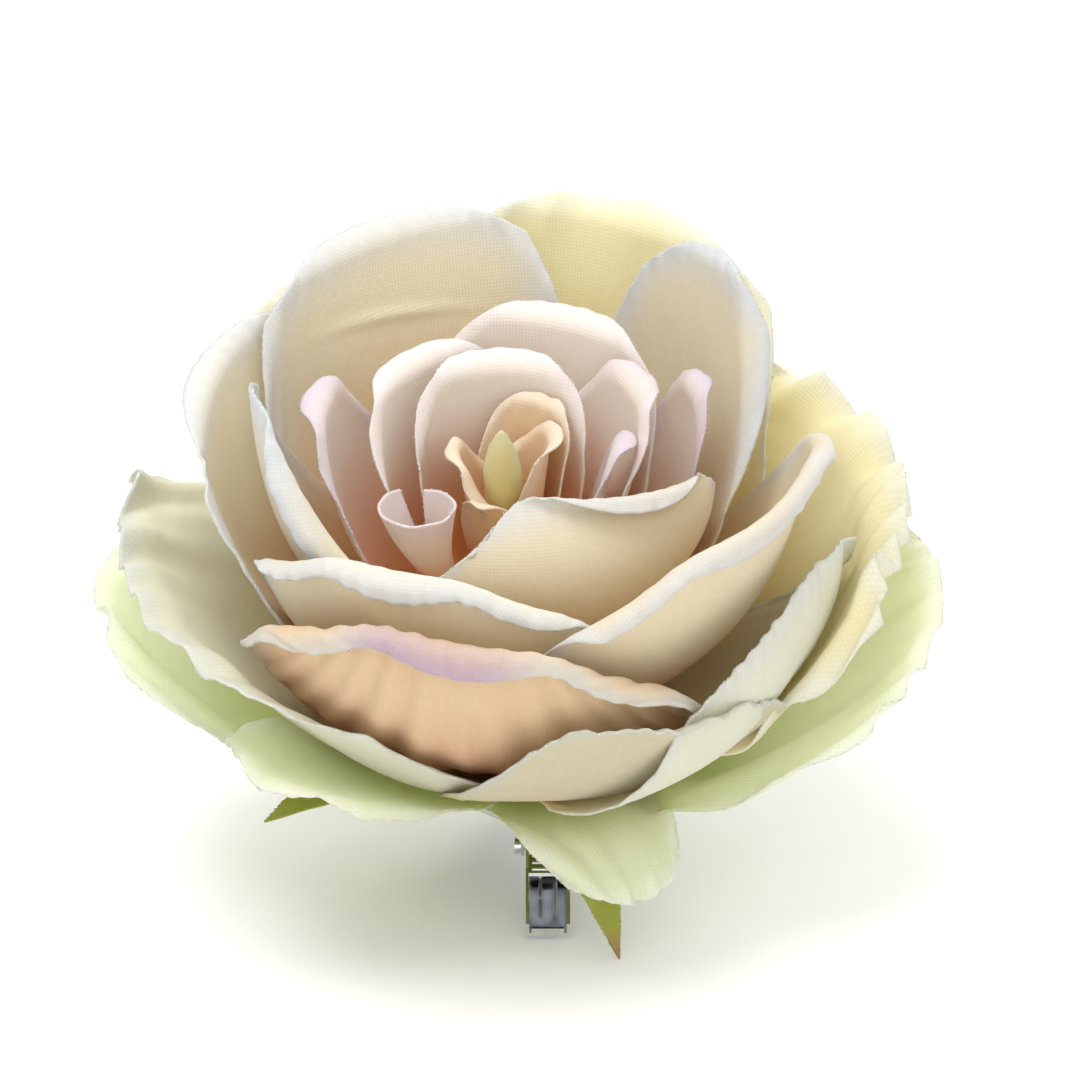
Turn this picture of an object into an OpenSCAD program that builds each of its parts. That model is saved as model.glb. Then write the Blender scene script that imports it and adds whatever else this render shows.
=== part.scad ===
// Flower hair clip: a layered fabric rose on a sprung alligator clip.
// +Z points away from the head, +Y is the way the jaws point.
// The origin is on the grip line, midway along the two jaws' toothed ends.

/* [Flower] */
// Lean of the rose towards the lever end, in degrees
flower_tilt = 12; // [0:1:16]
// How far the rose sits to the left of the clip
flower_shift = 6; // [0:0.5:7]
// Height of the rose's own origin above the pad
flower_lift = 2.6; // [2.2:0.1:3.2]
// Thickness of a petal's stiffened cloth
petal_t = 0.6; // [0.5:0.1:0.7]
// Cells across and along each petal's grid
petal_cells = 8; // [6:1:9]

/* [Core] */
// Radius of the foam core at its foot
core_foot_r = 6; // [5.8:0.1:6.4]
// Height of the foam core's tip in the rose's frame
core_top = 44; // [42:0.5:46]
// Radius of the round calyx under the rose
calyx_r = 7.5; // [7.2:0.1:7.8]

/* [Disc] */
// Diameter of the metal disc
disc_d = 25; // [24:0.5:27]
// Thickness of the metal disc
disc_t = 0.8; // [0.6:0.1:1]
// Diameter of the felt pad on the disc
pad_d = 24; // [22:0.5:24]
// Thickness of the felt pad
pad_t = 0.8; // [0.6:0.1:1]

/* [Clip] */
// Thickness of the clip's sheet steel
sheet_t = 0.5; // [0.4:0.05:0.5]
// Width over the lower arm's two flanges
clip_w = 6.2; // [6:0.1:6.6]
// Distance from the hinge to the tip of the jaws
jaw_l = 32; // [31:0.5:34]
// Distance from the hinge to the end of the levers
lever_l = 14.6; // [14:0.2:16]
// Drop from the upper arm's underside to the hinge
hinge_drop = 2.6; // [2.6:0.1:2.8]
// Drop from the hinge to the lower lever's end
lever_drop = 6.3; // [6:0.1:6.6]
// Diameter of the hinge pin
pin_d = 1.6; // [1.5:0.1:1.7]
// Diameter of the spring's wire
wire_d = 0.6; // [0.5:0.05:0.6]

/* [Hidden] */
$fn = 48;
// Each ring of petals shares: foot radius, belly, roundness, foot share,
// where the rim starts to roll, how much lower the roll starts at the sides,
// the roll's radius, 1 for a pointed end, and the colour.
HEART = [2.0, 0.42, 0.9, 0.50, 0.86, 0.10, 1.6, 0, "PeachPuff"];
PINK = [3.4, 0.42, 0.9, 0.40, 0.90, 0.06, 2.2, 0, "MistyRose"];
CREAM = [4.2, 0.42, 0.75, 0.30, 0.92, 0.08, 3.0, 0, "Ivory"];
OUTER = [4.8, 0.50, 0.7, 0.25, 0.94, 0.08, 3.5, 0, "Cornsilk"];
GREEN = [4.8, 0.42, 0.8, 0.14, 0.96, 0.08, 5.0, 0, "Honeydew"];
SEPAL = [5.0, 0.42, 0.7, 0.55, 1.10, 0.00, 5.0, 1, "YellowGreen"];
// Each petal: name, ring, the way it faces, foot height, rim radius, rim height,
// lean at the foot, lean at the rim, half width, rise of the rim per mm across,
// share by which one side stands further out than the other.
PETALS = [
    ["heart_petal_1", HEART, 185, 35, 6.2, 54, 20, 6, 6, 0, 0],
    ["heart_petal_2", HEART, 270, 38, 2.4, 57, 4, 4, 4, 0, 0],
    ["heart_petal_3", HEART, 12, 33, 6.2, 56, 20, 6, 6, 0, 0],
    ["heart_petal_4", HEART, 55, 31, 9, 57, 25, 6, 8, 0, 0],
    ["heart_petal_5", HEART, 258, 30, 6.8, 49, 26, 12, 4.5, 0, 0],
    ["curl_petal", PINK, 222, 29.5, 15.5, 53, 45, 5, 9, 0, 0],
    ["pink_petal_1", PINK, 96, 28, 12, 61, 34, 0, 16, 0, 0],
    ["pink_petal_2", PINK, 138, 24, 17, 61, 45, 2, 18, 0, 0],
    ["pink_petal_3", PINK, 68, 22, 22, 63, 50, 2, 21, 0, 0],
    ["pink_petal_4", PINK, 20, 26, 18.5, 61, 42, 2, 13, 0, 0],
    ["pink_petal_5", PINK, -8, 27, 15, 57, 38, 4, 6.5, 0, 0],
    ["pink_petal_6", PINK, 20, 20.5, 27, 59, 52, -2, 8.5, 0, 0],
    ["pink_petal_7", PINK, 172, 21, 24.5, 60, 52, 0, 14, 0, 0],
    ["cream_petal_1", CREAM, 121, 18, 39, 69, 66, 6, 26, 0, 0],
    ["cream_petal_2", CREAM, 166, 15, 41.5, 61, 72, 8, 28, -0.1, 0],
    ["cream_petal_3", CREAM, 35, 17, 36, 73, 66, 4, 19, 0, 0],
    ["cream_petal_4", CREAM, 204, 20, 36, 60, 62, 4, 26, -0.08, 0],
    ["cream_petal_5", CREAM, 294, 22.5, 22.5, 58, 62, -48, 23, -0.02, 0],
    ["cream_petal_6", CREAM, 322, 14, 44, 60, 72, 6, 35, 0.04, 0],
    ["cream_petal_7", CREAM, 247, 16, 38.5, 56, 70, 2, 30, -0.05, 0],
    ["outer_petal_1", OUTER, 261, 12.4, 44, 50.5, 82, 4, 37, -0.18, 0],
    ["outer_petal_2", OUTER, 302, 9.8, 49, 39, 86, 16, 24, -0.05, 0],
    ["outer_petal_3", OUTER, 202, 10.4, 53, 43, 86, 40, 42, -0.05, -0.08],
    ["outer_petal_4", OUTER, 14, 10.6, 54, 49, 87, 22, 39, 0.06, 0],
    ["outer_petal_5", OUTER, 337, 11.6, 48, 42, 83, 12, 20, 0.08, 0],
    ["outer_petal_6", OUTER, 66, 12.5, 46, 70, 78, 6, 30, 0, 0],
    ["outer_petal_7", OUTER, 124, 11, 47, 62, 80, 6, 28, 0, 0],
    ["green_petal_1", GREEN, 346, 8.3, 61, 32, 87, 45, 23, 0, 0],
    ["green_petal_2", GREEN, 49, 5.8, 60, 40, 92, 34, 16, 0, 0],
    ["green_petal_3", GREEN, 105, 7.8, 56, 38, 88, 35, 25, 0, 0],
    ["green_petal_4", GREEN, 174, 6.6, 58, 30, 92, 45, 21, 0, 0],
    ["green_petal_5", GREEN, 230, 7.8, 50, 27, 88, 60, 17, 0, 0],
    ["green_petal_6", GREEN, 292, 5.9, 46, 8, 90, 122, 12, 0, 0],
    ["sepal_1", SEPAL, 216, 5, 41, 8, 92, 98, 6.5, 0, 0],
    ["sepal_2", SEPAL, 294, 5, 39, -7, 80, 145, 5.5, 0, 0],
    ["sepal_3", SEPAL, 0, 5, 38, 5, 92, 105, 6.5, 0, 0],
    ["sepal_4", SEPAL, 72, 5, 38, 5, 92, 105, 6.5, 0, 0],
    ["sepal_5", SEPAL, 144, 5, 38, 5, 92, 105, 6.5, 0, 0]
];

// Places along the clip, from the origin on the grip line
tip_y = 4.5;
hinge_y = tip_y - jaw_l;
hinge_z = -hinge_drop;
disc_y = hinge_y + 12.4;
disc_z = sheet_t + disc_t;
pad_z = disc_z + pad_t;
inner_w = clip_w - 2 * sheet_t;
ear_gap = 0.2;
ear_x = clip_w / 2 + ear_gap;
clearance = 0.05;
rim_reach = 0.42;

// --- petals -------------------------------------------------------------

// The petal's middle line is a cubic curve from its foot to its rim.
function polar(len, lean) = [len * sin(lean), len * cos(lean)];
function chord(p) = norm([p[4] - p[1][0], p[5] - p[3]]);
function middle(p) =
    let (foot = [p[1][0], p[3]], rim = [p[4], p[5]])
    [foot, foot + polar(p[1][1] * chord(p), p[6]), rim - polar(rim_reach * chord(p), p[7]), rim];
function along(m, t) =
    pow(1 - t, 3) * m[0] + 3 * pow(1 - t, 2) * t * m[1] + 3 * (1 - t) * t * t * m[2] + pow(t, 3) * m[3];
function slope(m, t) =
    let (d = pow(1 - t, 2) * (m[1] - m[0]) + 2 * (1 - t) * t * (m[2] - m[1]) + t * t * (m[3] - m[2]))
    d / norm(d);

// The flat outline: a square foot that widens to a rounded end.
function widen(p, t) =
    (p[1][3] + (1 - p[1][3]) * pow(sin(90 * min(t / 0.62, 1)), 1.2)) * (1 - 0.9 * p[1][7] * pow(t, 2.5));
function flat_t(p, a, b) = (1 + b * sqrt(1 - p[1][2] * a * a / 2)) / 2;
function flat_x(p, a, b) =
    let (t = flat_t(p, a, b), square = pow(1 - t, 4))
    p[8] * widen(p, t) * (a * square + a * sqrt(1 - p[1][2] * b * b / 2) * (1 - square));

// A point of the petal: wrapped round the rose's axis, with its rim rolled outwards.
// The side value shifts it to the inner or the outer face.
function petal_point(p, a, b, side) =
    let (
        m = middle(p),
        x = flat_x(p, a, b),
        t = flat_t(p, a, b),
        roll_t = p[1][4] - p[1][5] * pow(x / p[8], 2),
        ts = min(t, roll_t),
        at = along(m, ts),
        dir = slope(m, ts),
        wide = at[0] * (1 + p[10] * x / p[8] * ts),
        turn = p[2] + x / max(wide, 1) * 180 / PI,
        rad = [cos(turn), sin(turn), 0],
        up = [0, 0, 1],
        forward = dir[0] * rad + dir[1] * up,
        out = dir[1] * rad - dir[0] * up,
        r = p[1][6],
        roll = max(0, t - roll_t) * chord(p) / r * 180 / PI,
        face = side * petal_t / 2
    )
    wide * rad + (at[1] + p[9] * x * ts) * up
        + (r + face) * sin(roll) * forward
        + (r - (r - face) * cos(roll)) * out;

module petal(p) {
    n = petal_cells + 1;
    count = n * n;
    steps = [for (i = [0 : petal_cells]) -1 + 2 * i / petal_cells];
    edge = concat(
        [for (i = [0 : n - 1]) i],
        [for (j = [1 : n - 1]) j * n + n - 1],
        [for (i = [n - 2 : -1 : 0]) (n - 1) * n + i],
        [for (j = [n - 2 : -1 : 1]) j * n]
    );
    points = [for (side = [1, -1]) for (b = steps) for (a = steps) petal_point(p, a, b, side)];
    cells = [for (j = [0 : n - 2]) for (i = [0 : n - 2]) j * n + i];
    outer = [for (c = cells) each [[c, c + n, c + 1], [c + 1, c + n, c + n + 1]]];
    inner = [for (f = outer) [count + f[0], count + f[2], count + f[1]]];
    rim = [for (k = [0 : len(edge) - 1])
        let (a = edge[k], b = edge[(k + 1) % len(edge)])
        each [[a, b, count + a], [b, count + b, count + a]]];
    color(p[1][8]) polyhedron(points, concat(outer, inner, rim));
}

// The rose's own frame stands over the pad, leaning towards the levers.
module in_rose() {
    translate([-flower_shift, disc_y, pad_z + flower_lift]) rotate([flower_tilt, 0, 0]) children();
}

// --- the rose's middle ----------------------------------------------------

// Solid foam core that every petal's foot is pushed into
module bud_core() {
    color("Khaki") in_rose() rotate_extrude() polygon([
        [0, 4.2], [core_foot_r, 4.2], [core_foot_r, 13], [5.4, 18], [4.6, 24],
        [3.6, 32], [2.6, 39], [1.2, core_top - 0.6], [0, core_top]
    ]);
}

// Round green calyx, cut flat where it is glued to the pad
module calyx() {
    color("OliveDrab") difference() {
        in_rose() difference() {
            translate([0, 0, 3.4]) sphere(calyx_r);
            translate([0, 0, 4.2 + 10]) cube([30, 30, 20], center = true);
        }
        translate([-flower_shift, disc_y, pad_z - 10]) cube([40, 40, 20], center = true);
    }
}

// --- the disc ---------------------------------------------------------------

module felt_pad() {
    color("White") translate([0, disc_y, disc_z]) cylinder(pad_t, d = pad_d);
}

module disc() {
    color("Silver") translate([0, disc_y, sheet_t]) cylinder(disc_t, d = disc_d);
}

// --- the clip -----------------------------------------------------------------

// Turns a side outline, drawn as [y, z] from the hinge, into a slab of the given width.
module slab(width, x = 0) {
    translate([x - width / 2, hinge_y, hinge_z])
        rotate([90, 0, 90]) linear_extrude(width) children();
}

module bore(radius) {
    translate([0, hinge_y, hinge_z]) rotate([0, 90, 0]) cylinder(clip_w * 3, r = radius, center = true);
}

// Flat upper arm with grip ridges on its lever, two ears at the hinge and a pointed tip
module upper_arm() {
    plate_w = clip_w - 0.8;
    color("Silver") difference() {
        union() {
            linear_extrude(sheet_t) polygon([
                [-plate_w / 2, hinge_y - lever_l], [plate_w / 2, hinge_y - lever_l],
                [plate_w / 2, tip_y - 3], [1.2, tip_y], [-1.2, tip_y], [-plate_w / 2, tip_y - 3]
            ]);
            for (i = [0 : 2])
                translate([0, hinge_y - 9.5 - 2 * i, sheet_t]) rotate([0, 90, 0])
                    cylinder(plate_w - 1, r = 0.25, center = true);
            translate([-ear_x - sheet_t, hinge_y - 2.6, 0]) cube([2 * (ear_x + sheet_t), 5.2, sheet_t]);
            for (side = [-1, 1])
                slab(sheet_t, side * (ear_x + sheet_t / 2)) union() {
                    polygon([[-2.6, hinge_drop + 0.1], [-1.4, -0.4], [1.4, -0.4], [2.6, hinge_drop + 0.1]]);
                    circle(1.5);
                }
        }
        bore(pin_d / 2);
    }
}

// Channel-shaped lower arm: lever, hinge flanges and toothed jaw
module lower_arm() {
    drop = lever_drop;
    floor_line = [[-lever_l, -drop], [-3, -1.9], [3, -1.9], [jaw_l - 7, hinge_drop - 1.0], [jaw_l, hinge_drop - 1.0]];
    floor_band = concat(floor_line, [for (i = [4 : -1 : 0]) floor_line[i] - [0, sheet_t]]);
    color("LightGray") difference() {
        union() {
            slab(inner_w + 0.02) polygon(floor_band);
            for (side = [-1, 1])
                slab(sheet_t, side * (clip_w - sheet_t) / 2) polygon([
                    [-lever_l, -drop - sheet_t], [-3, -1.9 - sheet_t], [3, -1.9 - sheet_t],
                    [jaw_l - 7, hinge_drop - 1.0 - sheet_t], [jaw_l - 1, hinge_drop - 1.0 - sheet_t],
                    [jaw_l - 1, hinge_drop - 0.7], [jaw_l - 7, hinge_drop - 0.5], [8, 0.9], [3, 1.7],
                    [0.9, 2], [-0.9, 2], [-3, 0.6], [-5, -1.1], [-lever_l, -drop + 1.4]
                ]);
            for (i = [0 : 3])
                slab(inner_w, 0) translate([jaw_l - 1.2 - 1.6 * i, 0])
                    polygon([[-0.6, hinge_drop - 1.1], [0.6, hinge_drop - 1.1], [0, hinge_drop - 0.05]]);
            // folded stop lip at the lever's end
            slab(inner_w - 0.6) polygon([
                [-lever_l, -drop], [-lever_l + sheet_t, -drop], [-lever_l + sheet_t, -drop + 0.7], [-lever_l, -drop + 0.7]
            ]);
        }
        bore(pin_d / 2 + clearance);
    }
}

// Headed hinge pin, seen standing out at both ears
module hinge_pin() {
    half = ear_x + sheet_t;
    color("Silver") translate([0, hinge_y, hinge_z]) rotate([0, 90, 0]) union() {
        cylinder(2 * half + 0.6, d = pin_d, center = true);
        for (side = [-1, 1])
            translate([0, 0, side * (half + 0.45)]) cylinder(0.9, d = pin_d + 0.8, center = true);
    }
}

// Close-wound coil round the pin, with one leg under the upper lever and one over the lower
module torsion_spring() {
    coil_r = pin_d / 2 + 0.15 + wire_d / 2;
    coil_l = 4.5 * wire_d;
    leg_d = wire_d - 0.06;
    leg_x = (coil_l - wire_d) / 2;
    color("Gray") translate([0, hinge_y, hinge_z]) union() {
        rotate([0, 90, 0]) difference() {
            cylinder(coil_l, r = coil_r + wire_d / 2, center = true);
            cylinder(coil_l + 1, r = coil_r - wire_d / 2, center = true);
        }
        translate([leg_x, 0, coil_r]) rotate([90, 0, 0]) cylinder(9, d = leg_d);
        translate([-leg_x, 0, -coil_r]) rotate([90, 0, 0]) cylinder(8, d = leg_d);
    }
}

for (p = PETALS)
    in_rose() petal(p);
bud_core();
calyx();
felt_pad();
disc();
upper_arm();
lower_arm();
hinge_pin();
torsion_spring();
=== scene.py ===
import math

import bpy
import numpy as np
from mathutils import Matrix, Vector


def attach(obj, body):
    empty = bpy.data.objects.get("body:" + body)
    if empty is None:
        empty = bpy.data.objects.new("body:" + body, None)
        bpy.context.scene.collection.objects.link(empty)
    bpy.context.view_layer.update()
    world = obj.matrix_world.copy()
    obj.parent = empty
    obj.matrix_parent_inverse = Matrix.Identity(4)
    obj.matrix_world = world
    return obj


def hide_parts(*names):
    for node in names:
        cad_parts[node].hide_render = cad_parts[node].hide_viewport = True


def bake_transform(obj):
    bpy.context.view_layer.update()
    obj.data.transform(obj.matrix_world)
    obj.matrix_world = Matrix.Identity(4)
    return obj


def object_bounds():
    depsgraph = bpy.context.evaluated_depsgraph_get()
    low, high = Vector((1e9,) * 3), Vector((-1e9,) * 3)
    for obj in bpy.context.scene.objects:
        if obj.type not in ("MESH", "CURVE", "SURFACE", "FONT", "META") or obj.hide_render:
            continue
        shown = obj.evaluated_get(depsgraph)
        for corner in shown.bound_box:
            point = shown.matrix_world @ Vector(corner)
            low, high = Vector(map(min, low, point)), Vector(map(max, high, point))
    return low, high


# A silk rose on an alligator clip. The petals are thin cloth, modelled in millimetres in the rose's own
# frame: its axis is Z, azimuth 0 is along X, and azimuth 270 degrees faces the camera. to_root takes them
# into the part's frame. The metal pieces are the CAD solids with materials, and the spring is wound here.

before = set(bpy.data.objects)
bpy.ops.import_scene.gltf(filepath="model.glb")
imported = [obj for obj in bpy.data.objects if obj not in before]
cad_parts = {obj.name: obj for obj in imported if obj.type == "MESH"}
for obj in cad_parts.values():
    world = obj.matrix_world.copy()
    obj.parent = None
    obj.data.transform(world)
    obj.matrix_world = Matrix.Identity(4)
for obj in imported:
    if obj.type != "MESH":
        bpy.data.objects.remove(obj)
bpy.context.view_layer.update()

MM = 0.001
GRID = 101

CLOTH_THICK = 0.34
WEAVE_PITCH = 0.46
UV_PER_MM = 0.01
WEAVE_DEPTH = 0.00008
CONE_SHARE = 0.5

ROSE_TILT = math.radians(12)
ROSE_AT = np.array([-6.0, -15.1, 4.7])
DISC_Y = -15.1

HINGE_Y = -27.5
HINGE_Z = -2.6
SPRING_WIRE = 0.6
SPRING_PIN_R = 0.8
SPRING_GAP = 0.15
SPRING_TURNS = 3.5

# ---------------------------------------------------------------- petal rows
# Ring: foot radius, belly, roundness, foot width share
RINGS = {
    "heart": (2.0, 0.42, 0.90, 0.50),
    "pink": (3.4, 0.42, 0.90, 0.40),
    "cream": (4.2, 0.42, 0.75, 0.30),
    "outer": (4.8, 0.50, 0.70, 0.25),
    "green": (4.8, 0.42, 0.80, 0.14),
    "sepal": (5.0, 0.42, 0.70, 0.55),
}
POINTED = {"sepal": 1.0}
ROLL_TURN = 150
ROLL_SOFT = 1.2
# Rolls that every petal of a ring has unless its own row says otherwise
RING_ROLL = {
    "heart": dict(rolls=[(0, 3.0), (-50, 1.5), (50, 1.5)], radius=1.4),
    "pink": dict(rolls=[(0, 5.0), (-50, 3.0), (50, 3.0)], radius=2.4),
    "cream": dict(rolls=[(0, 5.0), (-55, 3.0), (55, 3.0)], radius=3.0),
    "outer": dict(rolls=[(0, 5.0), (-55, 4.0), (55, 4.0)], radius=3.5, turn=110),
    "green": dict(rolls=[(0, 4.0), (-55, 4.0), (55, 4.0)], radius=5.0, turn=70),
    "sepal": dict(rolls=[], radius=5.0),
}

# Petal: ring, azimuth, foot height, rim radius, rim height, foot lean, rim lean,
# half width, slope, cloth, extras. Lengths are in millimetres, angles in degrees.
# Extras: rolls are the lines where the cloth turns outward, each a direction from the petal's
# middle line and a margin, with the radius and turn they share. ribs are height and count,
# ruffle is height, count and the side it favours, crease is a depth, and cone is the radius,
# turn and start of a petal rolled into a cone. fold, point, round, foot and twist are shares.
PETALS = {
    "heart_petal_1": ("heart", 185, 35, 6.2, 54, 20, 6, 8, 0, "peach",
                      dict(rolls=[(0, 3), (-60, 3), (60, 3)], radius=1.2, turn=200)),
    "heart_petal_2": ("heart", 266, 38, 4.6, 60, 12, -6, 5, 0, "lime",
                      dict(fold=0.4, point=0.7, rolls=[])),
    "heart_petal_3": ("heart", 12, 33, 6.2, 56, 20, 6, 8, 0, "peach",
                      dict(rolls=[(0, 3), (50, 3)], radius=1.4)),
    "heart_petal_4": ("heart", 55, 31, 9, 57, 25, 6, 9, 0, "peach", dict()),
    "heart_petal_5": ("heart", 250, 30, 7.5, 50, 26, 12, 6, 0, "peach",
                      dict(point=0.3)),
    "curl_petal": ("pink", 222, 29.5, 15.5, 52, 45, 5, 14, 0, "rose",
                   dict(cone=(5.2, 340, 60), round=0.2, foot=0.9)),
    "pink_petal_1": ("pink", 96, 28, 12, 61, 34, 0, 16, 0, "blush", dict()),
    "pink_petal_2": ("pink", 138, 24, 17, 61, 45, 2, 18, 0, "blush", dict()),
    "pink_petal_3": ("pink", 68, 22, 22, 63, 50, 2, 21, 0, "blush", dict()),
    "pink_petal_4": ("pink", 20, 26, 18.5, 61, 42, 2, 13, 0, "rose", dict()),
    "pink_petal_5": ("pink", -8, 27, 15, 57, 38, 4, 6.5, 0, "lilac", dict()),
    "pink_petal_6": ("pink", 20, 20.5, 27, 59, 52, -2, 8.5, 0, "lilac", dict()),
    "pink_petal_7": ("pink", 172, 21, 24.5, 60, 52, 0, 14, 0, "lilac", dict()),
    "cream_petal_1": ("cream", 117, 18, 39, 69, 66, 6, 27, -0.1, "cream",
                      dict(crease=0.6)),
    "cream_petal_2": ("cream", 166, 15, 41.5, 61, 72, 8, 28, -0.1, "cream", dict()),
    "cream_petal_3": ("cream", 36, 17, 36, 73, 66, 4, 21, 0, "pearl",
                      dict(rolls=[(0, 3), (-60, 5)], radius=2.4, point=0.35)),
    "cream_petal_4": ("cream", 211, 20, 34, 60, 62, 4, 26, -0.12, "pearl",
                      dict(rolls=[(30, 8)], radius=1.5, turn=185)),
    "cream_petal_5": ("cream", 303, 22.5, 24, 58.5, 62, -52, 30, -0.02, "apricot",
                      dict(rolls=[(12, 5.5)], radius=1.3, turn=175, round=1.2)),
    "cream_petal_6": ("cream", 322, 14, 43, 62, 72, 6, 35, 0.06, "apricot",
                      dict(rolls=[(0, 6), (-25, 5), (25, 5), (-50, 3), (50, 3)], radius=1.4, turn=180)),
    "cream_petal_7": ("cream", 249, 16, 38, 59, 70, 0, 30, 0.04, "cream",
                      dict(rolls=[(0, 6.5), (-25, 5.5), (25, 5.5), (-50, 3), (50, 3)], radius=1.4,
                           turn=180, round=0.9)),
    "outer_petal_1": ("outer", 263, 12.4, 44, 53.5, 82, 0, 37, -0.12, "dawn",
                      dict(rolls=[(0, 7), (-25, 6), (25, 6), (-50, 4), (50, 4)], radius=1.4,
                           turn=180, round=0.95, ribs=(0.4, 42))),
    "outer_petal_2": ("outer", 299, 9.8, 48, 41, 86, 16, 25, -0.18, "dusk",
                      dict(rolls=[(0, 4), (-55, 3), (55, 3)], radius=4, turn=80, ruffle=(0.3, 7, 0))),
    "outer_petal_3": ("outer", 202, 10.4, 51.5, 43.5, 86, 40, 42, -0.15, "shell",
                      dict(rolls=[(0, 7), (-55, 9), (55, 4)], radius=8, turn=65,
                           ruffle=(2.0, 13, -1), twist=-0.13)),
    "outer_petal_4": ("outer", 14, 10.6, 54, 49, 87, 22, 39, 0.06, "lemon",
                      dict(rolls=[(0, 9), (-55, 8), (55, 8)], radius=9, turn=65, ruffle=(1.9, 14, 0))),
    "outer_petal_5": ("outer", 326, 11.6, 46, 46.5, 84, -14, 27, 0.22, "shell",
                      dict(rolls=[(62, 4)], radius=4, turn=100, ruffle=(0.3, 8, 1))),
    "outer_petal_6": ("outer", 67, 12.5, 46, 67.5, 78, 6, 30, 0.06, "lemon",
                      dict(ruffle=(0.7, 9, 0))),
    "outer_petal_7": ("outer", 122, 11, 47, 58, 80, 6, 28, -0.04, "lemon", dict()),
    "green_petal_1": ("green", 355, 8.3, 61, 34, 87, 45, 29, 0.14, "green",
                      dict(ruffle=(1.4, 9, 0), ribs=(0.7, 17))),
    "green_petal_2": ("green", 47, 5.8, 60, 40, 92, 34, 17, 0, "green",
                      dict(ruffle=(1.0, 8, 0))),
    "green_petal_3": ("green", 105, 7.8, 56, 38, 88, 35, 25, 0, "green",
                      dict(ruffle=(1.0, 8, 0))),
    "green_petal_4": ("green", 174, 6.6, 58, 30, 92, 45, 21, 0, "green",
                      dict(ruffle=(1.0, 8, 0))),
    "green_petal_5": ("green", 230, 7.8, 50, 27, 88, 60, 17, 0, "green",
                      dict(ruffle=(0.8, 6, 0))),
    "green_petal_6": ("green", 294, 5.9, 46, 8, 90, 122, 12.5, 0, "green",
                      dict(ruffle=(0.8, 6, 0), point=0.2)),
    "sepal_1": ("sepal", 216, 5, 41, 8, 92, 98, 6.5, 0, "sepal", dict(fold=0.25)),
    "sepal_2": ("sepal", 294, 5, 39, -7, 80, 145, 5.5, 0, "sepal_red", dict(fold=0.25)),
    "sepal_3": ("sepal", 0, 5, 38, 5, 92, 105, 6.5, 0, "sepal", dict(fold=0.25)),
    "sepal_4": ("sepal", 72, 5, 38, 5, 92, 105, 6.5, 0, "sepal", dict(fold=0.25)),
    "sepal_5": ("sepal", 144, 5, 38, 5, 92, 105, 6.5, 0, "sepal", dict(fold=0.25)),
}


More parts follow.
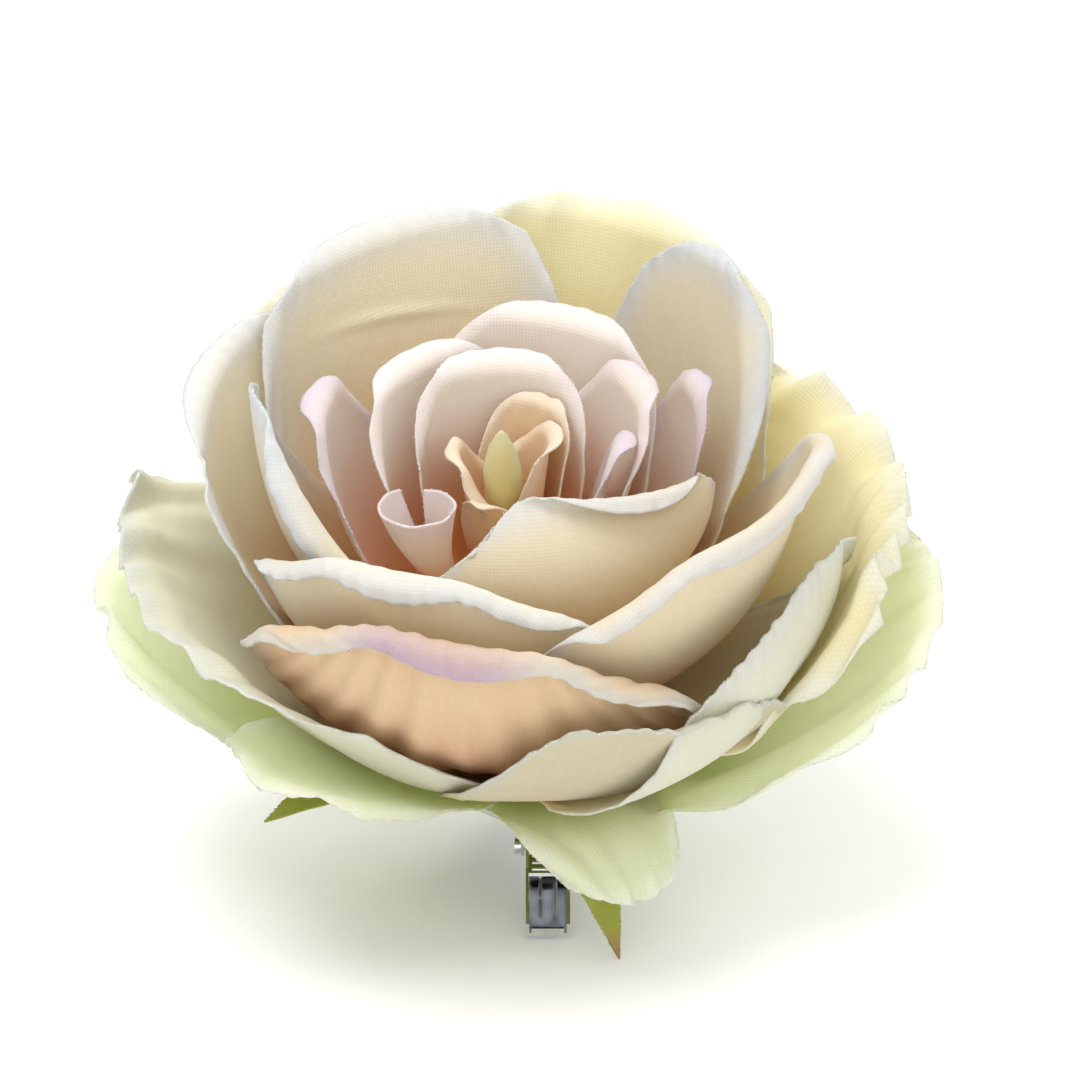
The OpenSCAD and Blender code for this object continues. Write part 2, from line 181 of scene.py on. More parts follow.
# ------------------------------------------------------------- petal surface
class Petal:
    """The numbers of one petal and its surface in the rose's own frame, in millimetres."""

    def __init__(self, name):
        row = PETALS[name]
        self.name = name
        self.ring = row[0]
        self.foot_r, self.belly, self.round, self.foot = RINGS[self.ring]
        self.azimuth = math.radians(row[1])
        self.start = np.array([self.foot_r, row[2]])
        self.end = np.array([row[3], row[4]])
        self.lean = (math.radians(row[5]), math.radians(row[6]))
        self.half = row[7]
        self.slope = row[8]
        self.cloth = row[9]
        more = dict(RING_ROLL[self.ring])
        more.update(row[10])
        self.more = more
        self.point = more.get("point", POINTED.get(self.ring, 0.0))
        self.round = more.get("round", self.round)
        self.foot = more.get("foot", self.foot)
        self.twist = more.get("twist", 0.0)
        self.chord = float(np.hypot(*(self.end - self.start)))
        spare = [margin - more["radius"] for angle, margin in more["rolls"] if abs(angle) < 45]
        self.longer = max(spare + [0.0])
        self.length = self.chord + self.longer
        self.seed = sum(ord(c) * (i + 3) for i, c in enumerate(name))

    def profile(self, t):
        """Radius and height of the petal's middle line at share t of the way from foot to rim."""
        a0, a1 = self.lean
        toward0 = np.array([math.sin(a0), math.cos(a0)])
        toward1 = np.array([math.sin(a1), math.cos(a1)])
        p0, p3 = self.start, self.end
        p1 = p0 + self.belly * self.chord * toward0
        p2 = p3 - 0.42 * self.chord * toward1
        t = np.clip(t, 0.0, 1.2)[..., None]
        s = 1 - t
        c = s**3 * p0 + 3 * s * s * t * p1 + 3 * s * t * t * p2 + t**3 * p3
        return c[..., 0], c[..., 1]

    def surface(self, u, v):
        """The petal before its rim is rolled, at u across and v along its flat cloth."""
        t = v / self.chord
        r, z = self.profile(t)
        r = r * (1 + self.twist * u / self.half * np.minimum(t, 1))
        angle = self.azimuth + u / np.maximum(r, 1.0)
        height = z + self.slope * u * t
        return np.stack([r * np.cos(angle), r * np.sin(angle), height], -1)

    def frame_at(self, u, v, nu, nv):
        """Place, unit tangent along (nu, nv) and outward unit normal at flat place (u, v)."""
        e = 0.05
        here = self.surface(u, v)
        du = self.surface(u + e, v) - self.surface(u - e, v)
        dv = self.surface(u, v + e) - self.surface(u, v - e)
        normal = np.cross(du, dv)
        normal /= np.linalg.norm(normal, axis=-1, keepdims=True) + 1e-12
        along = nu[..., None] * du + nv[..., None] * dv
        along -= (along * normal).sum(-1, keepdims=True) * normal
        along /= np.linalg.norm(along, axis=-1, keepdims=True) + 1e-12
        return here, along, normal

    def outline(self, n):
        """Flat places (u, v) of an n by n grid, with the grid's own coordinates."""
        a, b = np.meshgrid(np.linspace(-1, 1, n), np.linspace(-1, 1, n), indexing="ij")
        x = a * np.sqrt(1 - self.round * b * b / 2)
        t = (1 + b * np.sqrt(1 - self.round * a * a / 2)) / 2
        square = (1 - t) ** 4
        grow = np.sin(np.clip(t / 0.5, 0, 1) * np.pi / 2) ** 1.2
        width = (self.foot + (1 - self.foot) * grow) * (1 - 0.9 * self.point * t**2.5)
        u = self.half * (a * square + x * (1 - square)) * width
        return a, b, u, t * self.length

    def curled(self, u, v):
        """The sheet rolled into an open cone that stands on the petal's own line."""
        radius, turn, start = self.more["cone"]
        t = np.clip(v / self.length, 0, 1)
        r, z = self.profile(t)
        size = 0.6 + (radius - 0.6) * t**1.6
        angle = self.azimuth + math.radians(start) + u / self.half * math.radians(turn) / 2
        size = size * (1 - 0.10 * u / self.half)
        x = r * math.cos(self.azimuth) + size * np.cos(angle)
        y = r * math.sin(self.azimuth) + size * np.sin(angle)
        return np.stack([x, y, z], -1)

    def rolled(self, u, v):
        """The sheet with everything beyond its roll lines rolled outward."""
        if "cone" in self.more:
            return self.curled(u, v)
        rolls = self.more["rolls"]
        if not rolls:
            return self.surface(u, v)
        radius = self.more["radius"]
        turn = math.radians(self.more.get("turn", ROLL_TURN))
        depths = []
        normals = []
        for angle, margin in rolls:
            a = math.radians(angle)
            reach = u * math.sin(a) + v * math.cos(a)
            depths.append(reach - (reach.max() - margin))
            normals.append((math.sin(a), math.cos(a)))
        depths = np.stack(depths)
        weights = np.exp((depths - depths.max(0)) / ROLL_SOFT)
        weights /= weights.sum(0)
        depth = np.maximum((weights * depths).sum(0), 0)
        nu = sum(w * n[0] for w, n in zip(weights, normals))
        nv = sum(w * n[1] for w, n in zip(weights, normals))
        size = np.hypot(nu, nv)
        nu, nv = nu / size, nv / size
        here, along, normal = self.frame_at(u - depth * nu, v - depth * nv, nu, nv)
        h = np.minimum(depth / radius, turn)[..., None]
        rest = np.maximum(depth - radius * turn, 0)[..., None]
        place = here + radius * np.sin(h) * along + radius * (1 - np.cos(h)) * normal
        return place + rest * (np.cos(h) * along + np.sin(h) * normal)


def grid_normals(points):
    """Unit normals of a grid of points."""
    du = np.gradient(points, axis=0)
    dv = np.gradient(points, axis=1)
    normal = np.cross(du, dv)
    return normal / (np.linalg.norm(normal, axis=-1, keepdims=True) + 1e-9)


def waves(x, y, seed, count, low, high):
    """Smooth irregular waves between about -1 and 1, the same for the same seed."""
    rng = np.random.default_rng(seed)
    total = np.zeros_like(x)
    for _ in range(count):
        k = rng.uniform(low, high)
        a = rng.uniform(-0.5, 0.5)
        total += np.sin(k * (x * math.cos(a) + y * math.sin(a)) + rng.uniform(0, 6.28))
    return total / math.sqrt(count)


def fold_lift(p, u, t):
    """A fold along the middle line, as on a leaf."""
    return -p.more["fold"] * (np.sqrt(u * u + 0.3) - 0.55) * np.clip(t * 2, 0, 1)


def rib_lift(p, fan, t):
    """Ribs that fan out from the foot."""
    size, count = p.more["ribs"]
    return size * np.sin(t * np.pi) ** 0.8 * waves(fan * count, t * 2, p.seed, 4, 0.7, 1.6)


def ruffle_lift(p, a, fan, t, edge):
    """Ruffles that grow towards the rim, with a finer ripple at the very edge."""
    size, count, side = p.more["ruffle"]
    favour = np.clip(1 - 0.45 * abs(side) + 0.8 * side * a, 0.1, 1)
    far = np.clip(t * 1.6 - 0.5, 0, 1) * favour
    broad = np.exp(-edge / (0.16 * p.half + 2)) * waves(fan * count, t * 3, p.seed + 1, 3, 0.8, 1.5)
    fine = np.exp(-edge / 7.0) * waves(fan * count, t * 2, p.seed + 4, 3, 2.0, 3.2)
    return size * far * (broad + 0.7 * fine)


def crease_lift(p, u, t):
    """One short sharp crease across the petal below its rim."""
    across = np.exp(-((t - 0.78 - 0.002 * u) * p.chord / 0.7) ** 2)
    return -p.more["crease"] * across * np.exp(-(u / 9) ** 2)


def crinkle_lift(p, u, v, edge):
    """Small wrinkles near the rim and a slow unevenness all over."""
    small = 0.10 if p.ring in ("heart", "pink") else 0.16
    near = small * np.exp(-edge / 3.0) * waves(u, v, p.seed + 2, 5, 1.2, 2.6)
    slow = 0.25 * small * p.half**0.5 * waves(u, v * 0.6, p.seed + 3, 4, 0.12, 0.35)
    return near + slow


def shaped(p, a, b, u, v):
    """The petal's middle surface with its fold, ribs, ruffles, crease and crinkles."""
    points = p.rolled(u, v)
    t = v / p.length
    edge = np.minimum((1 - np.abs(a)) * p.half, (1 - b) * 0.5 * p.length)
    fan = a * (0.6 + 0.4 * np.abs(b))
    lift = np.zeros_like(u)
    if "fold" in p.more:
        lift += fold_lift(p, u, t)
    if "ribs" in p.more:
        lift += rib_lift(p, fan, t)
    if "ruffle" in p.more:
        lift += ruffle_lift(p, a, fan, t, edge)
    if "crease" in p.more:
        lift += crease_lift(p, u, t)
    lift += crinkle_lift(p, u, v, edge)
    return points + lift[..., None] * grid_normals(points), edge, t


def to_root(points):
    """Points of the rose's own frame in the part's frame, still in millimetres."""
    c, s = math.cos(ROSE_TILT), math.sin(ROSE_TILT)
    x, y, z = points[..., 0], points[..., 1], points[..., 2]
    return np.stack([x, y * c - z * s, y * s + z * c], -1) + ROSE_AT


# ---------------------------------------------------------------- cloth mesh
def free_rim(grid, inset=0):
    """A grid's values up one side, along the rim and down the other side, that many rows in."""
    return np.concatenate([grid[inset, :-1], grid[:-1, -1 - inset], grid[-1 - inset, ::-1]])


def read_along(values, run, at):
    """Each column of values read at the distances at along the run."""
    return np.stack([np.interp(at, run, column) for column in values.T], -1)


def thread_ends(points, u, v, seed):
    """Short cut thread ends all along the free rim: their points, their faces and their flat places."""
    rim = free_rim(points)
    run = np.concatenate([[0], np.cumsum(np.linalg.norm(np.diff(rim, axis=0), axis=1))])
    rng = np.random.default_rng(seed)
    count = int(run[-1] / 0.5)
    at = np.sort(rng.uniform(run[-1] * 0.04, run[-1] * 0.96, count))
    place = read_along(rim, run, at)
    face = read_along(free_rim(grid_normals(points)), run, at)
    where = read_along(free_rim(np.stack([u, v], -1)), run, at)
    out = place - read_along(free_rim(points, 1), run, at)
    out -= (out * face).sum(-1, keepdims=True) * face
    out /= np.linalg.norm(out, axis=-1, keepdims=True) + 1e-9
    side = np.cross(out, face)
    length = rng.uniform(0.08, 0.34, (count, 1)) * (1 + 1.2 * (rng.random((count, 1)) > 0.96))
    sway = rng.normal(0, 0.12, (count, 1)) * side + rng.normal(0, 0.06, (count, 1)) * face
    root = place - 0.12 * out
    wide = 0.15 * side
    thick = 0.4 * CLOTH_THICK * face
    corners = [root + wide, root - wide + thick, root - wide - thick, place + length * out + sway]
    pyramid = np.array([(0, 1, 2), (0, 3, 1), (1, 3, 2), (2, 3, 0)])
    faces = (pyramid + 4 * np.arange(count)[:, None, None]).reshape(-1, 3)
    return np.stack(corners, 1).reshape(-1, 3), faces, np.repeat(where, 4, axis=0)


def sheet_faces(n, m):
    """Quads of both sides and of the rim of an n by m sheet, whose far side's points come second."""
    index = np.arange(n * m).reshape(n, m)
    quad = np.stack([index[:-1, :-1], index[1:, :-1], index[1:, 1:], index[:-1, 1:]], -1).reshape(-1, 4)
    rim = np.concatenate([index[:-1, 0], index[-1, :-1], index[:0:-1, -1], index[0, :0:-1]])
    ahead = np.roll(rim, -1)
    side = np.stack([ahead, rim, rim + n * m, ahead + n * m], -1)
    return np.concatenate([quad, quad[:, ::-1] + n * m, side])


def add_measure(mesh, label, values, at_ends):
    """Store a measure of the grid on both sides of the sheet, and on its thread ends."""
    both = np.concatenate([values.ravel(), values.ravel(), at_ends]).astype(np.float32)
    mesh.attributes.new(label, "FLOAT", "POINT").data.foreach_set("value", both)


def sheet_mesh(name, points, u, v, edge, t, seed):
    """A closed thin cloth solid from a grid of middle points, with flat UVs and two measures."""
    end_verts, end_faces, end_flat = thread_ends(points, u, v, seed)
    half = grid_normals(points) * CLOTH_THICK / 2
    verts = np.concatenate([(points + half).reshape(-1, 3), (points - half).reshape(-1, 3), end_verts]) * MM
    faces = sheet_faces(*u.shape)
    corners = np.concatenate([faces.ravel(), end_faces.ravel() + 2 * u.size]).astype(np.int32)
    starts = np.concatenate([np.arange(0, faces.size, 4), faces.size + np.arange(0, end_faces.size, 3)])
    mesh = bpy.data.meshes.new(name)
    mesh.vertices.add(len(verts))
    mesh.vertices.foreach_set("co", verts.ravel())
    mesh.loops.add(len(corners))
    mesh.loops.foreach_set("vertex_index", corners)
    mesh.polygons.add(len(starts))
    mesh.polygons.foreach_set("loop_start", starts.astype(np.int32))
    mesh.update(calc_edges=True)
    flat = np.stack([u.ravel(), v.ravel()], -1)
    flat = np.concatenate([flat, flat, end_flat]) * UV_PER_MM
    mesh.uv_layers.new(name="cloth").data.foreach_set("uv", flat[corners].ravel())
    add_measure(mesh, "along", t, np.full(len(end_verts), 0.9))
    add_measure(mesh, "edge", edge, np.zeros(len(end_verts)))
    mesh.polygons.foreach_set("use_smooth", np.ones(len(starts), dtype=bool))
    mesh.validate()
    return mesh


def link(name, mesh):
    """A new object with that mesh, in the scene."""
    obj = bpy.data.objects.new(name, mesh)
    bpy.context.scene.collection.objects.link(obj)
    return obj


def flat_size(p, u, v):
    """The cut size of the petal before shaping, width, length and area, in metres."""
    rows = np.abs(np.diff(v, axis=1)) / p.length
    cells = (np.diff(u, axis=0)[:, :-1] * rows[:-1, :]).sum()
    line_r, line_z = p.profile(np.linspace(0, 1, 60))
    length = float(np.hypot(np.diff(line_r), np.diff(line_z)).sum()) + p.longer
    width = float(u.max() - u.min())
    share = CONE_SHARE if "cone" in p.more else 1.0
    return max(width, 10.0) * MM, max(length, 10.0) * MM, float(abs(cells)) * length * MM * MM * share


def make_petal(name):
    """One petal as a cloth sheet, stretched over its own CAD solid's place."""
    p = Petal(name)
    a, b, u, v = p.outline(GRID)
    points, edge, t = shaped(p, a, b, u, v)
    mesh = sheet_mesh(name + "_cloth", to_root(points), u, v, edge, t, p.seed)
    obj = link(name + "_cloth", mesh)
    mesh.materials.append(CLOTHS[p.cloth])
    width, length, area = flat_size(p, u, v)
    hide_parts(name)
    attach(obj, "root")


# ----------------------------------------------------------------- materials
def srgb(code):
    """Linear colour from a six-digit screen colour."""
    out = []
    for i in (0, 2, 4):
        c = int(code[i:i + 2], 16) / 255
        out.append(c / 12.92 if c < 0.04045 else ((c + 0.055) / 1.055) ** 2.4)
    return (out[0], out[1], out[2], 1.0)


class Nodes:
    """Short ways to add and join the nodes of one material."""

    def __init__(self, name):
        self.mat = bpy.data.materials.new(name)
        self.mat.use_nodes = True
        self.tree = self.mat.node_tree
        self.tree.nodes.clear()
        self.out = self.add("ShaderNodeOutputMaterial")

    def add(self, kind, **props):
        node = self.tree.nodes.new(kind)
        for key, value in props.items():
            setattr(node, key, value)
        return node

    def put(self, socket, value):
        """Link a socket to another node's output, or set its constant."""
        if isinstance(value, bpy.types.NodeSocket):
            self.tree.links.new(value, socket)
        else:
            socket.default_value = value

    def math(self, operation, *values):
        node = self.add("ShaderNodeMath", operation=operation)
        for socket, value in zip(node.inputs, values):
            self.put(socket, value)
        return node.outputs[0]

    def mix(self, factor, first, second, blend="MIX"):
        """Mix two colours."""
        node = self.add("ShaderNodeMix", data_type="RGBA", blend_type=blend)
        self.put(node.inputs[0], factor)
        self.put(node.inputs[6], first)
        self.put(node.inputs[7], second)
        return node.outputs[2]

    def span(self, value, low, high, to_low=0.0, to_high=1.0):
        """A smooth step from to_low to to_high while the value goes from low to high."""
        node = self.add("ShaderNodeMapRange", interpolation_type="SMOOTHSTEP")
        for socket, setting in zip(node.inputs, (value, low, high, to_low, to_high)):
            self.put(socket, setting)
        return node.outputs[0]

    def noise(self, scale, detail=2.0):
        node = self.add("ShaderNodeTexNoise")
        node.inputs["Scale"].default_value = scale
        node.inputs["Detail"].default_value = detail
        self.put(node.inputs["Vector"], self.add("ShaderNodeTexCoord").outputs["Object"])
        return node.outputs["Fac"]

    def bump(self, height, strength, distance):
        node = self.add("ShaderNodeBump")
        node.inputs["Strength"].default_value = strength
        node.inputs["Distance"].default_value = distance
        self.put(node.inputs["Height"], height)
        return node.outputs["Normal"]

    def attribute(self, name):
        return self.add("ShaderNodeAttribute", attribute_name=name).outputs["Fac"]

    def shader(self, colour, roughness, normal, **constants):
        """The main surface, with constants named by its sockets, a space as an underscore."""
        node = self.add("ShaderNodeBsdfPrincipled")
        self.put(node.inputs["Base Color"], colour)
        self.put(node.inputs["Roughness"], roughness)
        self.put(node.inputs["Normal"], normal)
        for key, value in constants.items():
            node.inputs[key.replace("_", " ")].default_value = value
        return node.outputs[0]

    def finish(self, surface):
        self.put(self.out.inputs[0], surface)
        return self.mat


def flat_place(n):
    """Across and along the flat cloth, from its UVs."""
    part = n.add("ShaderNodeSeparateXYZ")
    n.put(part.inputs[0], n.add("ShaderNodeUVMap", uv_map="cloth").outputs[0])
    return part.outputs[0], part.outputs[1]


def woven(n):
    """Height of a plain weave, from 0 between the threads to 1 where they cross."""
    across, along = flat_place(n)
    turns = math.pi / (WEAVE_PITCH * UV_PER_MM)
    warp = n.math("SINE", n.math("MULTIPLY", across, turns))
    weft = n.math("SINE", n.math("MULTIPLY", along, turns))
    return n.math("MULTIPLY", n.math("ABSOLUTE", warp), n.math("ABSOLUTE", weft))


def cloth_shader(n, colour, normal, roughness, sheen, glow):
    """Cloth that lets a share of the light through."""
    main = n.shader(colour, roughness, normal, Specular_IOR_Level=0.25, Sheen_Weight=sheen,
                    Sheen_Roughness=0.4)
    through = n.add("ShaderNodeBsdfTranslucent")
    n.put(through.inputs["Color"], colour)
    n.put(through.inputs["Normal"], normal)
    both = n.add("ShaderNodeMixShader")
    both.inputs[0].default_value = glow
    n.put(both.inputs[1], main)
    n.put(both.inputs[2], through.outputs[0])
    return n.finish(both.outputs[0])


def two_tone_rim(n, stain, rim, middle):
    """A rim colour that turns to another one about the petal's middle."""
    across, along = flat_place(n)
    away = n.math("ABSOLUTE", n.math("ADD", across, 0.03))
    ragged = n.math("ADD", away, n.math("MULTIPLY", stain, 0.1))
    return n.mix(n.span(ragged, 0.1, 0.22), srgb(middle), srgb(rim))


def petal_cloth(name, deep, body, rim, spread=(0.05, 0.6), rim_width=5.0, glow=0.3, middle=None):
    """Stiff woven petal cloth: a deep colour at the foot, the body, and a tinted rim."""
    n = Nodes(name)
    along = n.attribute("along")
    edge = n.attribute("edge")
    weave = woven(n)
    stain = n.noise(45, 3.0)
    slub = n.noise(900, 1.0)
    where = n.math("ADD", along, n.math("MULTIPLY", n.math("SUBTRACT", stain, 0.5), 0.25))
    colour = n.mix(n.span(where, spread[0], spread[1]), srgb(deep), srgb(body))
    ragged_edge = n.math("ADD", edge, n.math("MULTIPLY", stain, 2.0))
    rim_part = n.span(ragged_edge, 0.5, rim_width + 1, 1.0, 0.0)
    rim_part = n.math("MULTIPLY", rim_part, n.span(along, 0.45, 0.75))
    rim_colour = two_tone_rim(n, stain, rim, middle) if middle else srgb(rim)
    colour = n.mix(rim_part, colour, rim_colour)
    # Painted shade: the weave's hollows between the threads are darkened towards 8a7f70.
    weave_shade = n.math("MULTIPLY", n.math("SUBTRACT", 1.0, weave), 0.10)
    colour = n.mix(weave_shade, colour, srgb("8a7f70"), "MULTIPLY")
    colour = n.mix(n.span(slub, 0.35, 0.75, 0.0, 0.10), colour, srgb("ffffff"), "SOFT_LIGHT")
    # Paler line along the rim's last 0.35 mm: partly the real pale cut threads, partly a painted highlight
    # along the edge.
    cut = n.span(edge, 0.0, 0.35, 0.25, 0.0)
    colour = n.mix(cut, colour, srgb("fbf8ee"))
    height = n.math("ADD", weave, n.math("MULTIPLY", slub, 0.8))
    return cloth_shader(n, colour, n.bump(height, 0.35, WEAVE_DEPTH), 0.62, 0.15, glow)


def sepal_cloth(name, tip):
    """Olive woven sepal cloth with a tip of its own colour."""
    n = Nodes(name)
    weave = woven(n)
    stain = n.noise(80, 3.0)
    uneven = n.math("MULTIPLY", n.math("SUBTRACT", stain, 0.5), 0.3)
    where = n.math("ADD", n.attribute("along"), uneven)
    colour = n.mix(n.span(stain, 0.3, 0.7), srgb("9da23a"), srgb("b4b95a"))
    colour = n.mix(n.span(where, 0.88, 1.02), colour, srgb(tip))
    # Painted shade: the weave's hollows between the threads are darkened towards 5a5a30.
    weave_shade = n.math("MULTIPLY", n.math("SUBTRACT", 1.0, weave), 0.10)
    colour = n.mix(weave_shade, colour, srgb("5a5a30"), "MULTIPLY")
    return cloth_shader(n, colour, n.bump(weave, 0.4, WEAVE_DEPTH), 0.65, 0.0, 0.2)


def metal(name, colour, rough, scale, scratch):
    """Plated metal with faint scratches and uneven polish."""
    n = Nodes(name)
    wear = n.noise(scale, 4.0)
    plated = n.mix(n.span(wear, 0.4, 0.8, 0.0, 0.3), srgb(colour), srgb("8f9194"))
    polish = n.span(wear, 0.3, 0.8, rough, rough + 0.05)
    scratches = n.bump(n.noise(scale * 6, 2.0), scratch, 0.00002)
    return n.finish(n.shader(plated, polish, scratches, Metallic=1.0))


def soft_solid(name, colour, dark, scale, strength):
    """Felt, foam or matte plastic: two tones and a fine bump."""
    n = Nodes(name)
    fine = n.noise(scale, 5.0)
    tones = n.mix(n.span(fine, 0.3, 0.7), srgb(dark), srgb(colour))
    return n.finish(n.shader(tones, 0.8, n.bump(fine, strength, 0.0003), Specular_IOR_Level=0.2))


# Each cloth: deep colour, body colour, rim colour, where deep turns to body, rim width, glow
CLOTHS = {
    "peach": petal_cloth("peach_cloth", "ee9c4c", "f8dcb4", "faecd6", (0.15, 0.8)),
    "lime": petal_cloth("lime_cloth", "eec46c", "f4ebac", "f6f2cc"),
    "rose": petal_cloth("rose_cloth", "f6b06c", "fcf1e6", "f6eaec", (0.2, 0.8)),
    "blush": petal_cloth("blush_cloth", "f7b264", "fef6ec", "fcf4f2", (0.25, 0.8)),
    "lilac": petal_cloth("lilac_cloth", "f6b980", "f7ece4", "eadfe8", (0.25, 0.8)),
    "cream": petal_cloth("cream_cloth", "f4bc58", "faf1d6", "ebecea", (0.15, 0.8), 10.0),
    "pearl": petal_cloth("pearl_cloth", "f2bc6c", "ece3cc", "e0e3e5", (0.15, 0.75), 8.0),
    "apricot": petal_cloth("apricot_cloth", "eebe84", "efe3c6", "e5e4e0", (0.1, 0.75), 7.0),
    "dawn": petal_cloth("dawn_cloth", "e6a880", "efd4ac", "e2e0d8", (0.25, 0.8), 8.0, middle="d0b8c8"),
    "shell": petal_cloth("shell_cloth", "f0dca6", "eeedd8", "e6e8de", (0.2, 0.7)),
    "dusk": petal_cloth("dusk_cloth", "e2c898", "ded5b6", "d8d9ca", (0.2, 0.75), 4.0),
    "lemon": petal_cloth("lemon_cloth", "f2d97e", "faf3cc", "f3f2e2", (0.2, 0.85)),
    "green": petal_cloth("green_cloth", "dce6a4", "f6fade", "f8fbec", (0.3, 0.8), 5.0, 0.45),
    "sepal": sepal_cloth("sepal_cloth", "a6a850"),
    "sepal_red": sepal_cloth("sepal_red_cloth", "b8796a"),
}


# -------------------------------------------------------- core, pad, spring
def band_faces(rows, sides):
    """Quads between rows of rings of that many points, with both ends closed."""
    faces = []
    for k in range(rows - 1):
        for i in range(sides):
            j = (i + 1) % sides
            faces.append((k * sides + i, k * sides + j, (k + 1) * sides + j, (k + 1) * sides + i))
    faces.append(tuple(reversed(range(sides))))
    faces.append(tuple(range((rows - 1) * sides, rows * sides)))
    return faces


def revolve(outline, rows, sides):
    """A closed turned solid from an outline of (radius, height) pairs, read at that many rows."""
    radii, heights = np.array(outline, dtype=float).T
    at = np.linspace(0, len(outline) - 1, rows)
    r = np.interp(at, range(len(outline)), radii)[:, None]
    z = np.interp(at, range(len(outline)), heights)[:, None]
    a = 2 * np.pi * np.arange(sides)[None, :] / sides
    verts = np.stack([r * np.cos(a), r * np.sin(a), z + 0 * a], -1).reshape(-1, 3)
    return verts, band_faces(rows, sides)


def mesh_from(name, verts, faces):
    """A smooth mesh from points in millimetres."""
    mesh = bpy.data.meshes.new(name)
    mesh.from_pydata([tuple(v * MM) for v in verts], [], faces)
    mesh.polygons.foreach_set("use_smooth", np.ones(len(faces), dtype=bool))
    mesh.update()
    return mesh


def make_core():
    """The foam bud: a turned core with the shallow dents that its petals press into it."""
    outline = [(0.5, 4.2), (5.7, 4.2), (6.0, 4.6), (6.0, 13), (5.4, 18), (4.6, 24), (3.6, 32),
               (2.6, 39), (1.6, 42.4), (0.8, 43.8), (0.2, 44)]
    verts, faces = revolve(outline, 90, 48)
    round_it = np.arctan2(verts[:, 1], verts[:, 0])
    dent = 0.12 * waves(round_it * 3, verts[:, 2] * 0.6, 5, 4, 0.8, 2.0)
    radial = verts * np.array([1, 1, 0])
    radial /= np.linalg.norm(radial, axis=1, keepdims=True) + 1e-9
    verts = verts + radial * (dent[:, None] - 0.15)
    obj = link("bud_core_foam", mesh_from("bud_core_foam", to_root(verts), faces))
    obj.data.materials.append(soft_solid("core_foam", "e9c27e", "d9a455", 900, 0.6))
    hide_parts("bud_core")
    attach(obj, "root")


def make_pad():
    """The felt pad: a thin round of felt with a soft, slightly uneven edge."""
    outline = [(0.3, 1.3), (11.5, 1.3), (11.9, 1.45), (12.0, 1.7), (11.9, 1.95), (11.5, 2.1),
               (6, 2.1), (0.3, 2.1)]
    verts, faces = revolve(outline, 57, 120)
    round_it = np.arctan2(verts[:, 1], verts[:, 0])
    ragged = 1 + 0.006 * waves(round_it * 14, verts[:, 2], 8, 5, 0.8, 2.0)
    verts = verts * np.stack([ragged, ragged, np.ones(len(ragged))], -1) + np.array([0, DISC_Y, 0])
    obj = link("felt_pad_cloth", mesh_from("felt_pad_cloth", verts, faces))
    obj.data.materials.append(soft_solid("pad_felt", "e8e6da", "cfcdbf", 1800, 0.8))
    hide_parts("felt_pad")
    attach(obj, "root")


def tube(name, path, radius, sides):
    """A round wire along a path of points in millimetres, closed at both ends."""
    path = np.array(path)
    ahead = np.gradient(path, axis=0)
    ahead /= np.linalg.norm(ahead, axis=1, keepdims=True)
    across = np.cross(ahead[0], (0.3, 0.2, 0.9))
    verts = []
    for place, direction in zip(path, ahead):
        across = across - direction * (across @ direction)
        across = across / np.linalg.norm(across)
        third = np.cross(direction, across)
        for i in range(sides):
            a = 2 * math.pi * i / sides
            verts.append(place + radius * (math.cos(a) * across + math.sin(a) * third))
    return mesh_from(name, verts, band_faces(len(path), sides))


def spring_path():
    """The wire's middle line: a leg along the upper lever, close turns, a leg along the lower one."""
    coil_r = SPRING_PIN_R + SPRING_GAP + SPRING_WIRE / 2
    half = SPRING_TURNS * SPRING_WIRE / 2
    steps = int(24 * SPRING_TURNS)
    path = [(half, -9.0 + 0.45 * i, coil_r) for i in range(20)]
    for i in range(steps + 1):
        a = math.pi / 2 - 2 * math.pi * SPRING_TURNS * i / steps
        path.append((half - 2 * half * i / steps, coil_r * math.cos(a), coil_r * math.sin(a)))
    path += [(-half, -0.42 * i, -coil_r) for i in range(1, 19)]
    return [(x, y + HINGE_Y, z + HINGE_Z) for x, y, z in path]


def make_spring(material):
    """The hinge spring: its wire just inside the CAD spring's, bent between the two levers."""
    mesh = tube("hinge_spring_wire", spring_path(), SPRING_WIRE / 2 * 0.94, 12)
    obj = link("hinge_spring_wire", mesh)
    obj.data.materials.append(material)
    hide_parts("torsion_spring")
    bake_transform(obj)


def coat(node, material):
    """Give a CAD piece its material, through its slots only."""
    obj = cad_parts[node]
    for slot in obj.material_slots:
        slot.material = material
    if not obj.material_slots:
        obj.data.materials.append(material)


# ------------------------------------------------------------ stage and light
def make_floor(height):
    """A wide pale paper floor just under the part."""
    mesh = bpy.data.meshes.new("floor")
    size = 3.0
    corners = [(-size, -size, height), (size, -size, height), (size, size, height), (-size, size, height)]
    mesh.from_pydata(corners, [], [(0, 1, 2, 3)])
    obj = link("floor", mesh)
    n = Nodes("floor_paper")
    main = n.add("ShaderNodeBsdfPrincipled")
    n.put(main.inputs["Base Color"], n.mix(n.noise(8), (0.93, 0.93, 0.93, 1), (0.95, 0.95, 0.95, 1)))
    main.inputs["Roughness"].default_value = 0.9
    mesh.materials.append(n.finish(main.outputs[0]))


def aim_at(place, target):
    """The turn that points a lamp or camera at a target."""
    return (Vector(target) - Vector(place)).to_track_quat("-Z", "Y").to_euler()


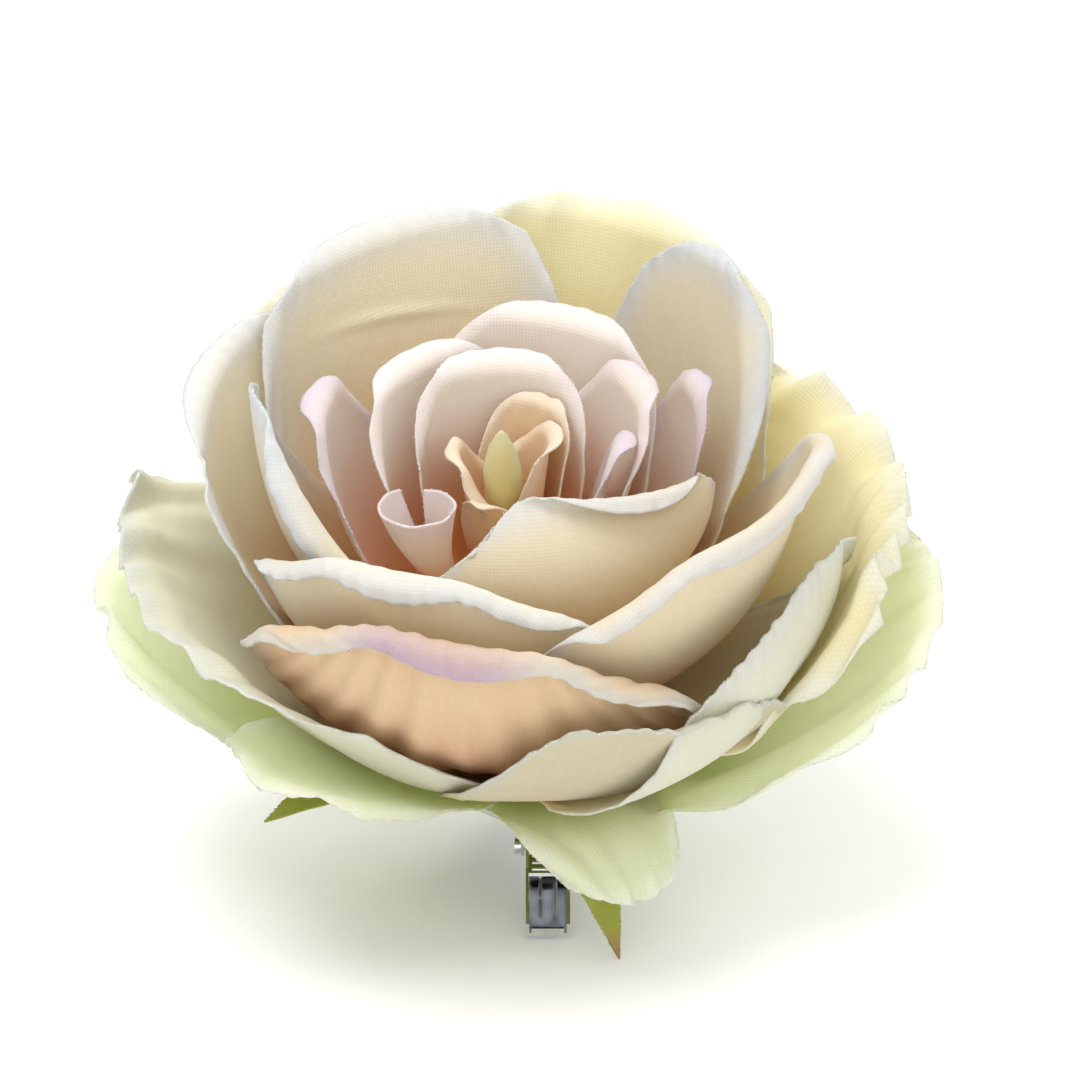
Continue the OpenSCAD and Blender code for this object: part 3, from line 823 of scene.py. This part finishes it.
def make_light(name, place, size, power):
    """A round soft lamp aimed at the rose."""
    lamp = bpy.data.lights.new(name, "AREA")
    lamp.shape = "DISK"
    lamp.size = size
    lamp.energy = power
    obj = bpy.data.objects.new(name, lamp)
    obj.location = place
    obj.rotation_euler = aim_at(place, (-0.006, -0.02, 0.04))
    bpy.context.scene.collection.objects.link(obj)


def make_world():
    """Even white light from all round."""
    world = bpy.data.worlds.new("studio")
    bpy.context.scene.world = world
    world.use_nodes = True
    back = world.node_tree.nodes["Background"]
    back.inputs[0].default_value = (1, 1, 1, 1)
    back.inputs[1].default_value = 0.8


def make_camera():
    """The photograph's view: from the front and 23 degrees up, 150 mm wide at the rose."""
    target = (-0.0011, -0.0231, 0.0426)
    distance = 0.620
    half_view = 0.075
    rise = math.radians(23)
    place = (target[0], target[1] - distance * math.cos(rise), target[2] + distance * math.sin(rise))
    cam = bpy.data.cameras.new("camera")
    cam.sensor_width = 36
    cam.angle = 2 * math.atan(half_view / distance)
    cam.clip_start = 0.01
    obj = bpy.data.objects.new("camera", cam)
    obj.location = place
    obj.rotation_euler = aim_at(place, target)
    bpy.context.scene.collection.objects.link(obj)
    bpy.context.scene.camera = obj


# -------------------------------------------------------------------- build
for petal_name in PETALS:
    make_petal(petal_name)
make_core()
make_pad()

chrome = metal("clip_chrome", "d9dbdd", 0.07, 500, 0.08)
for clip_node in ("upper_arm", "lower_arm", "hinge_pin"):
    coat(clip_node, chrome)
coat("disc", metal("disc_metal", "d4d5d6", 0.28, 700, 0.15))
coat("calyx", soft_solid("calyx_plastic", "a8b35a", "8c9a45", 700, 0.3))
make_spring(metal("spring_wire", "b9bbbe", 0.2, 900, 0.1))

low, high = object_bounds()
make_floor(low[2] - 0.0005)
make_light("key", (-0.18, -0.2, 0.85), 0.55, 4.2)
make_light("front", (0.1, -0.8, 0.42), 0.8, 1.6)
make_light("back", (0.35, 0.5, 0.45), 0.4, 2.0)
make_world()
make_camera()
bpy.context.scene.view_settings.view_transform = "Standard"
